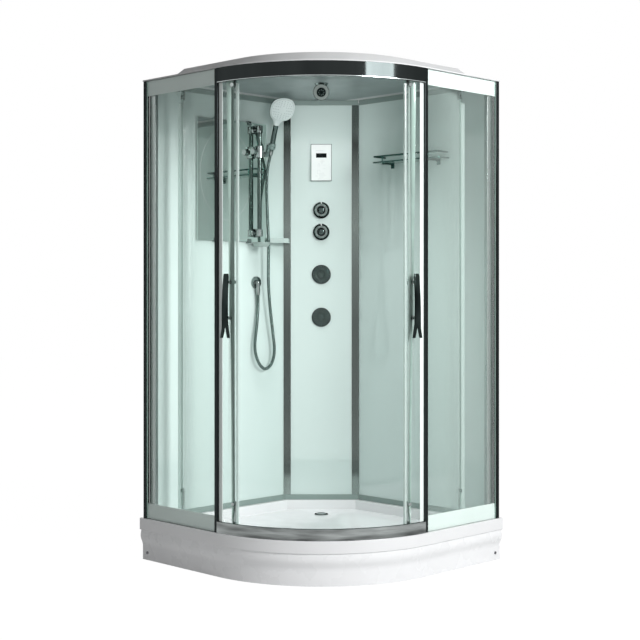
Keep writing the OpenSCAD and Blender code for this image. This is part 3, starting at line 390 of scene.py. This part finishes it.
plain("handle_chrome", (0.035, 0.048, 0.046), 0.12, 1, var=0.75, rvar=0.04, scale=16,
      stretch=(1, 1, 0.5), edge=0.25)
plain("frost", (0.36, 0.45, 0.42), 0.3, var=0.25, scale=30, coat=0.4)
plain("drain_chrome", (0.66, 0.69, 0.69), 0.12, 1, var=0.15, scale=30, edge=0.3)
plain("white_cover", (0.82, 0.90, 0.875), 0.35, bump=0.06, bump_scale=400)
plain("roof_white", (0.62, 0.63, 0.635), 0.45, var=0.03, scale=3, bump=0.05, bump_scale=50,
      spec=0.12)
plain("ceiling_grey", (0.275, 0.325, 0.325), 0.4, var=0.06, scale=3, spec=0.3)
plain("dark_chrome", (0.030, 0.035, 0.035), 0.10, 1, var=0.3, rvar=0.03, scale=8,
      stretch=(1, 1, 0.05), edge=0.05)
pane("seal", (0.93, 0.97, 0.96), (0.80, 0.90, 0.87), 0.42, 1.0)
plain("shelf_white", (0.38, 0.47, 0.445), 0.25, bump=0.05, coat=0.4)
plain("hose_metal", (0.17, 0.23, 0.215), 0.25, 1, var=0.3, rvar=0.08, scale=80, edge=0.1)
plain("panel_white", (0.79, 0.83, 0.82), 0.3, bump=0.04, bump_scale=500, coat=0.2)
plain("brass", (0.62, 0.45, 0.2), 0.3, 1, var=0.25, rvar=0.1, scale=30, bump=0.1)
plain("copper", (0.62, 0.3, 0.17), 0.28, 1, var=0.3, rvar=0.1, scale=25, tint=(0.36, 0.16, 0.09))
plain("spray_white", (0.66, 0.74, 0.73), 0.35, bump=0.05)
plain("roller_plastic", (0.7, 0.7, 0.69), 0.4, bump=0.1, bump_scale=900)
plain("knob_chrome", (0.008, 0.015, 0.014), 0.14, 1, var=0.5, rvar=0.04, scale=40)
plain("ring_chrome", (0.30, 0.37, 0.35), 0.10, 1, var=0.6, rvar=0.04, scale=60)
plain("nozzle_grey", (0.33, 0.43, 0.41), 0.3, var=0.3, scale=60)
plain("rubber_black", (0.02, 0.024, 0.024), 0.45, bump=0.2, bump_scale=900)
plain("display", (0.004, 0.007, 0.007), 0.3, spec=0.05)
plain("grey_line", (0.12, 0.16, 0.15), 0.4, spec=0.2)
plain("faint_line", (0.66, 0.71, 0.70), 0.35)
plain("glass_edge", (0.40, 0.56, 0.50), 0.15, var=0.2, scale=12, coat=0.4)
# Lower rail: its strong light and dark streaks along the rail are painted reflections.
plain("rail_chrome", (0.40, 0.43, 0.425), 0.16, 1, var=0.85, rvar=0.05, scale=4, stretch=(1, 1, 9),
      edge=0.3)
plain("lip_bright", (0.70, 0.76, 0.75), 0.2, 1, var=0.5, scale=9, stretch=(1, 1, 0.2))
pane("clear_glass", (0.982, 0.992, 0.988), (0.62, 0.72, 0.69), 0.03, 0.9)
pane("shelf_glass", (0.84, 0.92, 0.89), (0.5, 0.62, 0.58), 0.08)
silvered("mirror_glass", W(632, 30, 1672), 0.153, 0.2025)

# Each solid gets the finish of its slot, or its own from this list
FINISH = {"column_profiles": "profile_grey", "wall_trims": "trim_light",
          "lower_rail": "rail_chrome", "riser_bar": "bar_chrome", "handset_holder": "holder_grey",
          "soap_dish": "frost", "drain_cover": "drain_chrome", "shelf_gallery": "shelf_rim"}
slots = {s["node"]: s["material_slot"] for s in frame["record"]["subparts"]}
bodies = {n: b for b, ns in frame["record"]["behaviour"]["bodies"].items() for n in ns}


def finish_of(node):
    return FINISH.get(node, slots[node])


for n in N:
    N[n].data.materials.clear()
    N[n].data.materials.append(M[finish_of(n)])


# Solids shown as a reworked copy of their own mesh
def clean_copy(node):
    """The node's mesh without doubled points, bare of finishes, flat faces in one piece."""
    me = N[node].data.copy()
    bm = bmesh.new()
    bm.from_mesh(me)
    bmesh.ops.remove_doubles(bm, verts=bm.verts, dist=1e-6)
    bmesh.ops.dissolve_limit(bm, angle_limit=math.radians(0.6), verts=bm.verts, edges=bm.edges)
    bm.to_mesh(me)
    bm.free()
    me.materials.clear()
    return me


def rounded(node, width, segments):
    """The node's own mesh with its edges rounded, as a piece that stands for it; width in mm."""
    me = clean_copy(node)
    o = finish_piece(node + "_rounded", me, [finish_of(node)], bodies[node], 0, [node])
    bv = o.modifiers.new("bevel", "BEVEL")
    bv.width = width * MM
    bv.segments = segments
    bv.limit_method = "ANGLE"
    bv.angle_limit = math.radians(30)
    bv.use_clamp_overlap = True
    bv.harden_normals = True
    me.shade_smooth()
    me.set_sharp_from_angle(angle=math.radians(50))


def upright(p):
    return abs(p.normal.z) < 0.5


def glazed(node, is_face, edge="glass_edge"):
    """A pane whose narrow sides show the deeper green of the glass's edge."""
    me = clean_copy(node)
    finish_piece(node + "_pane", me, [slots[node], edge], bodies[node], 0, [node])
    for p in me.polygons:
        p.material_index = 0 if is_face(p) else 1


glazed("fixed_glass", lambda p: upright(p) and p.area > 0.05)
for side in ("left", "right"):
    glazed(f"{side}_door_glass", lambda p: upright(p) and p.area > 0.012)
glazed("shelf_board", lambda p: not upright(p), "shelf_rim")

for node, width, segments in (
        ("shower_tray", 3.5, 3), ("apron", 1.2, 2), ("roof", 3, 3), ("posts", 2, 3),
        ("post_strips", 1.2, 2), ("post_seals", 1.5, 2), ("rail_covers", 0.7, 2),
        ("column_profiles", 1.5, 2), ("wall_trims", 1.2, 2), ("left_carriages", 1.0, 2),
        ("right_carriages", 1.0, 2), ("mirror_clips", 0.8, 2), ("corner_shelf", 2, 3),
        ("riser_brackets", 1.2, 2), ("left_door_seals", 0.7, 2), ("right_door_seals", 0.7, 2),
        ("tray_frame", 1.5, 2), ("levelling_feet", 1, 2), ("handset_holder", 1.5, 3),
        ("riser_slider", 1.5, 3), ("mixer_valve", 2, 2)):
    rounded(node, width, segments)


# Round pieces and what stands on them
ROUND = 64


def turned(name, rings, origin, direction, mats, body, replaces=(), extra=(), scale=None):
    """A piece from rings of (radius, height, index of the finish), with parts on its face."""
    parts = []
    for i in range(len(rings) - 1):
        (r0, h0, m), (r1, h1) = rings[i], rings[i + 1][:2]
        v, f = lathe([(max(r0, 0.001), h0), (max(r1, 0.001), h1)], origin, direction, ROUND, scale,
                     caps=False)
        parts.append((v, f, m))
    o = joined(name, parts + list(extra), mats, body, 40, replaces)
    outward(o, 2e-6)
    o.data.shade_smooth()
    o.data.set_sharp_from_angle(angle=math.radians(40))


def slab_box(origin, w, h, t, m=0):
    """A thin bar centred on a point, w by h by t mm, standing t out from the column."""
    o = Vector(origin)
    vs = [o + SIDE * (i * w * MM / 2) + UP * (j * h * MM / 2) + FWD * (k * t * MM)
          for k in (0, 1) for j in (-1, 1) for i in (-1, 1)]
    fs = [(0, 2, 3, 1), (4, 5, 7, 6), (0, 1, 5, 4), (2, 6, 7, 3), (0, 4, 6, 2), (1, 3, 7, 5)]
    return vs, fs, m


def nubs(at, count, radius, height, m, size, out=1.6, phase=0):
    """A ring of small round nozzles on a face; at is its centre and three directions."""
    origin, x, y, d = at
    parts = []
    for k in range(count):
        a = 2 * math.pi * (k + phase) / count
        p = origin + (x * math.cos(a) + y * math.sin(a)) * (radius * MM) + d * (height * MM)
        v, f = lathe([(size, 0), (size * 0.8, out * 0.8), (size * 0.3, out)], p, d, 8)
        parts.append((v, f, m))
    return parts


# Knobs: a dark rim, a bright ring and a dark middle with a white notch
DARK, BRIGHT, RUBBER, WHITE, GREY = range(5)
KNOB_MATS = ["knob_chrome", "ring_chrome", "rubber_black", "panel_white", "knob_grey"]
KNOB = [(0, 26.8, GREY), (11, 26.4, GREY), (14, 25, DARK), (17, 21.5, RUBBER), (21, 20, BRIGHT),
        (28.5, 20.5, BRIGHT), (31, 18, DARK), (34.5, 12, DARK), (37, 9, DARK), (38.5, 6.5, RUBBER),
        (38.5, 1, DARK), (30, 1, DARK), (5, 1, DARK), (5, -52, DARK), (0, -52, DARK)]
for node, z in (("upper_knob", 1529), ("lower_knob", 1427)):
    o = D(COLUMN, 0, z)
    notch = slab_box(o + UP * 0.0325 + FWD * 0.012, 4.5, 11, 6.5, WHITE)
    turned(node + "_disc", KNOB, o, FWD, KNOB_MATS, node, [node], extra=[notch])

# Body jets: a dark dish with rings of small nozzles, and a ball that turns in it
DARK, NOZZLE, RING = range(3)
JET_MATS = ["knob_chrome", "nozzle_grey", "ring_chrome"]
DISH = [(21.6, 9.8, DARK), (21.8, 12.5, RING), (23, 13, DARK), (33, 11.5, DARK), (40, 8.5, DARK),
        (43, 5.5, DARK), (44.5, 4, DARK), (44.5, 0, DARK), (29.5, 0, DARK), (29.5, -21, DARK),
        (24, -21, DARK)]
BALL_R = 23
BALL = [(0, BALL_R, DARK)] + [
    (BALL_R * math.sin(a), BALL_R * math.cos(a), DARK)
    for a in (0.15, 0.3, 0.45, 0.6, 0.75, 0.9, 1.05, 1.2, 1.35, 1.5, 1.65, 1.8, 1.95)]
for node, z, stands_for in (("upper_jet", 1228, ["jet_rings"]), ("lower_jet", 1027, [])):
    o = D(COLUMN, 0, z)
    at = (o, *axes(FWD))
    dots = nubs(at, 20, 36.5, 9.9, NOZZLE, 2.7) + nubs(at, 15, 27.5, 12.0, NOZZLE, 2.7, phase=0.5)
    turned(node + "_dish", DISH, o, FWD, JET_MATS, "cabin", stands_for, extra=dots)
    dots = nubs(at, 9, 13, 18.6, NOZZLE, 2.5) + nubs(at, 4, 6, 21.8, NOZZLE, 2.4)
    turned(node + "_ball", BALL, o, FWD, JET_MATS[:2], node, [node], extra=dots)

# Control panel: a grey line round the edge, a dark display and faint touch marks
PANEL = D(FACE, 0, 1752)
LINE, RAISED = 2.6, 0.35
lines = [slab_box(PANEL + UP * (k * 85.2 * MM), 98.6, LINE, RAISED) for k in (-1, 1)]
lines += [slab_box(PANEL + SIDE * (k * 48.0 * MM), LINE, 172.6, RAISED) for k in (-1, 1)]
joined("panel_line", lines, ["grey_line"], "cabin")
SUNK = 1.9
joined("panel_display", [slab_box(D(FACE - SUNK, 0, 1785), 49.6, 20.6, SUNK)], ["display"],
       "cabin")
PRINT = 0.25
marks = [slab_box(D(FACE, -8, 1808), 34, 2.2, PRINT)]
marks.append((*lathe([(5.5, 0), (5.5, 0.3), (4.2, 0.3), (4.2, 0)], D(FACE, -12, 1740), FWD, 24,
                     caps=False), 0))
for u, w, z, h in ((-12, 13, 1716, 1.4), (-12, 13, 1699, 1.4), (-18.5, 1.4, 1707.5, 18),
                   (-5.5, 1.4, 1707.5, 18), (14, 13, 1740, 1.4), (14, 13, 1723, 1.4)):
    marks.append(slab_box(D(FACE, u, z), w, h, PRINT))
joined("panel_marks", marks, ["faint_line"], "cabin")

# Overhead shower: a dark nozzle in a chrome face, looking forward and 20 degrees down
DARK, GREY, RING = range(3)
TILT = math.radians(20)
down = (FWD * math.cos(TILT) - UP * math.sin(TILT)).normalized()
centre = D(697, 0, 2014)
rings = [(0, 36.8, DARK), (18, 36.4, DARK), (20, 35.3, GREY), (29, 35.35, GREY), (32, 35.3, RING),
         (33.5, 35.6, DARK), (35.3, 35.2, DARK), (35.3, 34.9, DARK)]
dots = nubs((centre, SIDE, down.cross(SIDE).normalized(), down), 8, 11, 36.5, RING, 2.0, 1.0)
turned("overhead_face", rings, centre, down, ["knob_chrome", "profile_grey", "ring_chrome"],
       "overhead", extra=dots)


# Hand shower, in its own frame: turned about its axis and leaned off the wall
def hand(x, y, z):
    turn, lean = math.radians(22), math.radians(16)
    x1 = x * math.cos(turn) + y * math.sin(turn)
    y1 = -x * math.sin(turn) + y * math.cos(turn)
    p, q, up = HANDSET
    return W(p + x1, q + y1 * math.cos(lean) + z * math.sin(lean),
             up - y1 * math.sin(lean) + z * math.cos(lean))


def squarish(a):
    """The head's outline, between a circle and a square."""
    return 0.985 * (abs(math.cos(a)) ** 2.5 + abs(math.sin(a)) ** 2.5) ** -0.4


# Its head stands out from the handle and looks 20 degrees down
HEAD_OUT, HEAD_UP = 45, 216
LOOK_OUT, LOOK_DOWN = 93.97, 34.2
hc = hand(0, HEAD_OUT, HEAD_UP)
hd = (hand(0, HEAD_OUT + LOOK_OUT, HEAD_UP - LOOK_DOWN) - hc).normalized()
hx = (hand(1, HEAD_OUT, HEAD_UP) - hc).normalized()
hy = hd.cross(hx).normalized()
WHITE, DOTS, BACK = range(3)
HEAD = [(0, 2.8, WHITE), (20, 2.7, WHITE), (50, 2.4, WHITE), (52, 1.2, DOTS), (53, 0.6, WHITE),
        (56.5, 0.4, WHITE), (58, -1.2, WHITE), (58.6, -4, BACK), (58, -8, BACK), (56, -13, BACK),
        (48, -17.5, BACK), (36, -20, BACK), (18, -22, BACK), (0, -22.5, BACK)]
jets = []
for radius, count in ((20, 8), (28, 12), (36, 16), (44, 20)):
    jets += nubs((hc, hx, hy, hd), count, radius, 2.55, DOTS, 2.0, 0.9)
turned("hand_shower_head", HEAD, hc, hd, ["spray_white", "face_dots", "handle_grey"], "holder",
       ["spray_face"], extra=jets, scale=squarish)

# Its handle and neck: (outward, up, half width, half depth) in mm; the neck leans over to the head
NECK = [(0, 18, 9.5, 9.5), (0, 24, 11, 11), (0, 60, 12, 12), (0, 105, 11.6, 11.6),
        (0, 138, 12, 11.4), (2, 152, 17, 11), (6, 163, 24, 10), (11, 172, 30, 9), (17, 182, 34, 8),
        (24, 192, 36, 6.5), (29, 201, 32, 4)]
AROUND = 28
NECK_FROM, NECK_LENGTH = 138, 40
verts = []
for y, z, wide, deep in NECK:
    k = min(1, max(0, (z - NECK_FROM) / NECK_LENGTH))
    out = Vector((0, 1 - 0.06 * k, -0.342 * k)).normalized()
    for j in range(AROUND):
        a = 2 * math.pi * j / AROUND
        verts.append(hand(wide * math.cos(a), y + out.y * deep * math.sin(a),
                          z + out.z * deep * math.sin(a)))
o = joined("hand_shower_handle", [(verts, skin(len(NECK), AROUND), 0)],
           ["handle_grey", "spray_white"], "holder", replaces=["hand_shower"])
WHITE_FROM = 0.144     # metres up the handle
foot = hand(0, 0, 0)
along = (hand(0, 0, 1) - foot).normalized()
for p in o.data.polygons:
    if (p.center - foot).dot(along) > WHITE_FROM:
        p.material_index = 1

# Upper rail: a light lip under its outer face
LIP_R, LIP_STEPS = 591.2, 72
verts = []
for k in range(LIP_STEPS + 1):
    a = math.radians(90 * k / LIP_STEPS)
    p, q = ARC + LIP_R * math.cos(a), ARC + LIP_R * math.sin(a)
    for out, z in ((0, 1986.2), (1.4, 1986.2), (1.4, 1988.6), (0, 1988.6)):
        verts.append(W(p + math.cos(a) * out, q + math.sin(a) * out, z))
joined("rail_lip", [(verts, skin(LIP_STEPS + 1, 4), 0)], ["lip_bright"], "cabin")

# Handles: a bowed bar whose foot parts into two legs, bolted through an open door
PIVOT = (380, 426)       # of the left door, in p and q
HANDLE_AT = 40.7         # degrees along the closed door
OPENED = 30.2            # degrees that the doors stand open
OUT = 560.5              # outer face of a door's glass, from the centre of the round front
LOW, TALL = 963.0, 256.0
UPPER_BOLT, LOWER_BOLT = 1185.5, 1042.5
FORK, FOOT = 0.155, 0.2  # where the bar starts and its legs end, as parts of its height
BAR_STEPS, LEG_STEPS = 21, 8
SQUARE = 0.38            # shape of a bar's section: 1 is round, 0 is square


def door_point(side, r, t, z):
    """A point r mm from the centre of a door's arc and t mm along it from the handle."""
    a, turn = math.radians(HANDLE_AT), math.radians(-OPENED)
    dp = ARC + r * math.cos(a) - t * math.sin(a) - PIVOT[0]
    dq = ARC + r * math.sin(a) + t * math.cos(a) - PIVOT[1]
    p = PIVOT[0] + dp * math.cos(turn) - dq * math.sin(turn)
    q = PIVOT[1] + dp * math.sin(turn) + dq * math.cos(turn)
    return W(p, q, z) if side == "left" else W(q, p, z)


def loft(side, stations, n=16):
    """Rounded bars: stations of (radius, tangent, z, half depth, half width)."""
    vs = []
    for r, t, z, hr, ht in stations:
        for k in range(n):
            a = 2 * math.pi * k / n
            c, e = math.cos(a), math.sin(a)
            c, e = math.copysign(abs(c) ** SQUARE, c), math.copysign(abs(e) ** SQUARE, e)
            vs.append(door_point(side, r + hr * c, t + ht * e, z))
    return vs, skin(len(stations), n)


def bow(s):
    """How far the bar's back stands off the glass, at the part s of its height."""
    return 21 + 6 * math.sin(math.pi * s) + 6.5 * (1 - s) ** 4


for side in ("left", "right"):
    bar = []
    for k in range(BAR_STEPS + 1):
        s = FORK + (1 - FORK) * k / BAR_STEPS
        deep = (8 + 3 * math.sin(math.pi * min(1, 1.1 * s))) / 2
        end = min(1, (1 - s) * TALL / 4 + 0.82)
        bar.append((OUT + bow(s) + deep, 0, LOW + TALL * s, deep * end,
                    (12.6 + 3.4 * (1 - s) ** 2) * end))
    parts = [(*loft(side, bar), 0)]
    for leg in (-1, 1):
        stations = []
        for k in range(LEG_STEPS + 1):
            t = k / LEG_STEPS
            s = FOOT * (1 - t)
            stations.append((OUT + bow(s) + 4, leg * (8.2 + 9.5 * t ** 1.3), LOW + TALL * s, 4.4,
                             7.2 - 1.4 * t if k < LEG_STEPS else 5.0))
        parts.append((*loft(side, stations, 12), 0))
    for z in (LOWER_BOLT, UPPER_BOLT):
        for r0, r1, radius in ((OUT + 0.4, OUT + 28, 5.2), (OUT + 0.4, OUT + 3.2, 9),
                               (535.5, 555, 5.2), (552.5, 555.2, 8.5)):
            a, b = door_point(side, r0, 0, z), door_point(side, r1, 0, z)
            reach = (b - a).length / MM
            rod = [(radius * 0.86, 0), (radius, reach * 0.12), (radius, reach * 0.88),
                   (radius * 0.86, reach)]
            parts.append((*lathe(rod, a, b - a, 24), 1))
    a, b = door_point(side, 533, 0, UPPER_BOLT), door_point(side, 545, 0, UPPER_BOLT)
    parts.append((*lathe([(4, 0), (10, 1.2), (11.5, 4), (11.5, 9.5), (8, 12)], a, b - a, 36,
                         lambda a: 1 + 0.16 * math.cos(3 * a)), 1))
    a, b = door_point(side, 538, 0, LOWER_BOLT), door_point(side, 547, 0, LOWER_BOLT)
    parts.append((*lathe([(3, 0), (6.5, 1.5), (7, 6), (5.4, 9)], a, b - a, 24), 1))
    o = joined(side + "_handle_bar", parts, ["handle_chrome", "chrome"], side + "_door",
               45, [side + "_handle"])
    outward(o)

# The hose: a ribbed metal tube, along the same route as the solid
ROUTE = [W(*p) for p in (
    (445, 34, 1132), (445, 34, 1083), (454, 38, 1010), (464, 41, 957), (472, 43, 903),
    (466, 44, 856), (443, 45, 812), (410, 45, 792), (377, 45, 807), (357, 45, 845), (354, 46, 893),
    (363, 47, 950), (376, 49, 1024), (390, 53, 1101), (401, 57, 1193), (404, 60, 1280),
    (404, 62, 1360), (407, 61, 1430), (408, 58, 1500), (406, 52, 1570), (400, 44, 1640),
    (391, 40, 1710), HANDSET)]
HOSE_R = 0.007
GROOVE = 0.93            # radius between the ribs, as a part of HOSE_R
RIBS, RIB_RINGS = 24, 4  # ribs from each point of the route to the next, and rings in each
line = spline(ROUTE, RIBS)
fine, radii = [], []
for i, p in enumerate(line[:-1]):
    for k in range(RIB_RINGS):
        t = k / RIB_RINGS
        fine.append(p.lerp(line[i + 1], t))
        radii.append(HOSE_R * (GROOVE + (1 - GROOVE) * math.sin(math.pi * t) ** 0.7))
fine.append(line[-1])
radii.append(HOSE_R * GROOVE)
hose = joined("hose_ribbed", [(*tube(fine, radii, 14), 0)], ["hose_metal"], body=None,
              smooth=60, replaces=["shower_hose"])
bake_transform(hose)


# Lamps: one key lamp from the right, and four weak ones that are never seen or reflected
def area(name, loc, target, size, power, tall=None, spread=180, hidden=True):
    d = bpy.data.lights.new(name, "AREA")
    d.shape = "RECTANGLE"
    d.size, d.size_y = size, tall or size
    d.energy = power
    d.spread = math.radians(spread)
    o = placed(name, d)
    o.location = loc
    o.rotation_euler = (Vector(target) - Vector(loc)).to_track_quat("-Z", "Y").to_euler()
    if hidden:
        o.visible_camera = False
        o.visible_glossy = False
        o.visible_transmission = False


area("key", (4.3, 0.07, 2.8), (0, 0, 1.05), 1.8, 200, tall=1.5, hidden=False)
area("cabin_top", (0.02, -0.02, 1.975), (0.02, -0.02, 0), 0.5, 4.2, spread=100)
area("cabin_high", (0.04, -0.04, 1.93), D(COLUMN, 0, 1890), 0.25, 0.4, spread=75)
area("cabin_side", W(830, 790, 960), W(770, 0, 960), 0.3, 1.35, tall=1.5, spread=95)
area("front_fill", (3.1, -3.1, 1.15), (0, 0, 1.05), 1.4, 29)


# World: white where it is seen, reflected or looked at through glass, dimmer as a light
def seen_rays(nt):
    """1 for rays from the camera, from reflections and through glass, 0 for the rest."""
    lp = nt.nodes.new("ShaderNodeLightPath")
    rays = lp.outputs["Is Camera Ray"]
    for kind in ("Is Glossy Ray", "Is Transmission Ray"):
        rays = math_node(nt, "MAXIMUM", rays, lp.outputs[kind]).outputs[0]
    return rays


world = bpy.data.worlds.new("world")
bpy.context.scene.world = world
nt, out = nodes_of(world, "ShaderNodeOutputWorld")
bg = nt.nodes.new("ShaderNodeBackground")
bg.inputs["Color"].default_value = (1, 1, 1, 1)
nt.links.new(remap(nt, seen_rays(nt), 0.17, 1.0, 0, 1), bg.inputs["Strength"])
nt.links.new(bg.outputs[0], out.inputs[0])

# Floor: pale, and lighter to the camera, so that only the object's shadow shows
floor_pale = bpy.data.materials.new("floor_pale")
nt, out = nodes_of(floor_pale)
df = nt.nodes.new("ShaderNodeBsdfDiffuse")
df.inputs["Color"].default_value = (0.62, 0.62, 0.62, 1)
em = nt.nodes.new("ShaderNodeEmission")
em.inputs["Strength"].default_value = 1.1
ms = nt.nodes.new("ShaderNodeMixShader")
nt.links.new(math_node(nt, "MULTIPLY", seen_rays(nt), 0.9).outputs[0], ms.inputs["Fac"])
nt.links.new(df.outputs[0], ms.inputs[1])
nt.links.new(em.outputs[0], ms.inputs[2])
nt.links.new(ms.outputs[0], out.inputs["Surface"])
FAR = 15
me = bpy.data.meshes.new("floor")
me.from_pydata([(-FAR, -FAR, 0), (FAR, -FAR, 0), (FAR, FAR, 0), (-FAR, FAR, 0)], [], [(0, 1, 2, 3)])
me.materials.append(floor_pale)
floor = placed("floor", me)

bpy.context.scene.view_settings.view_transform = "Standard"
bpy.context.view_layer.update()
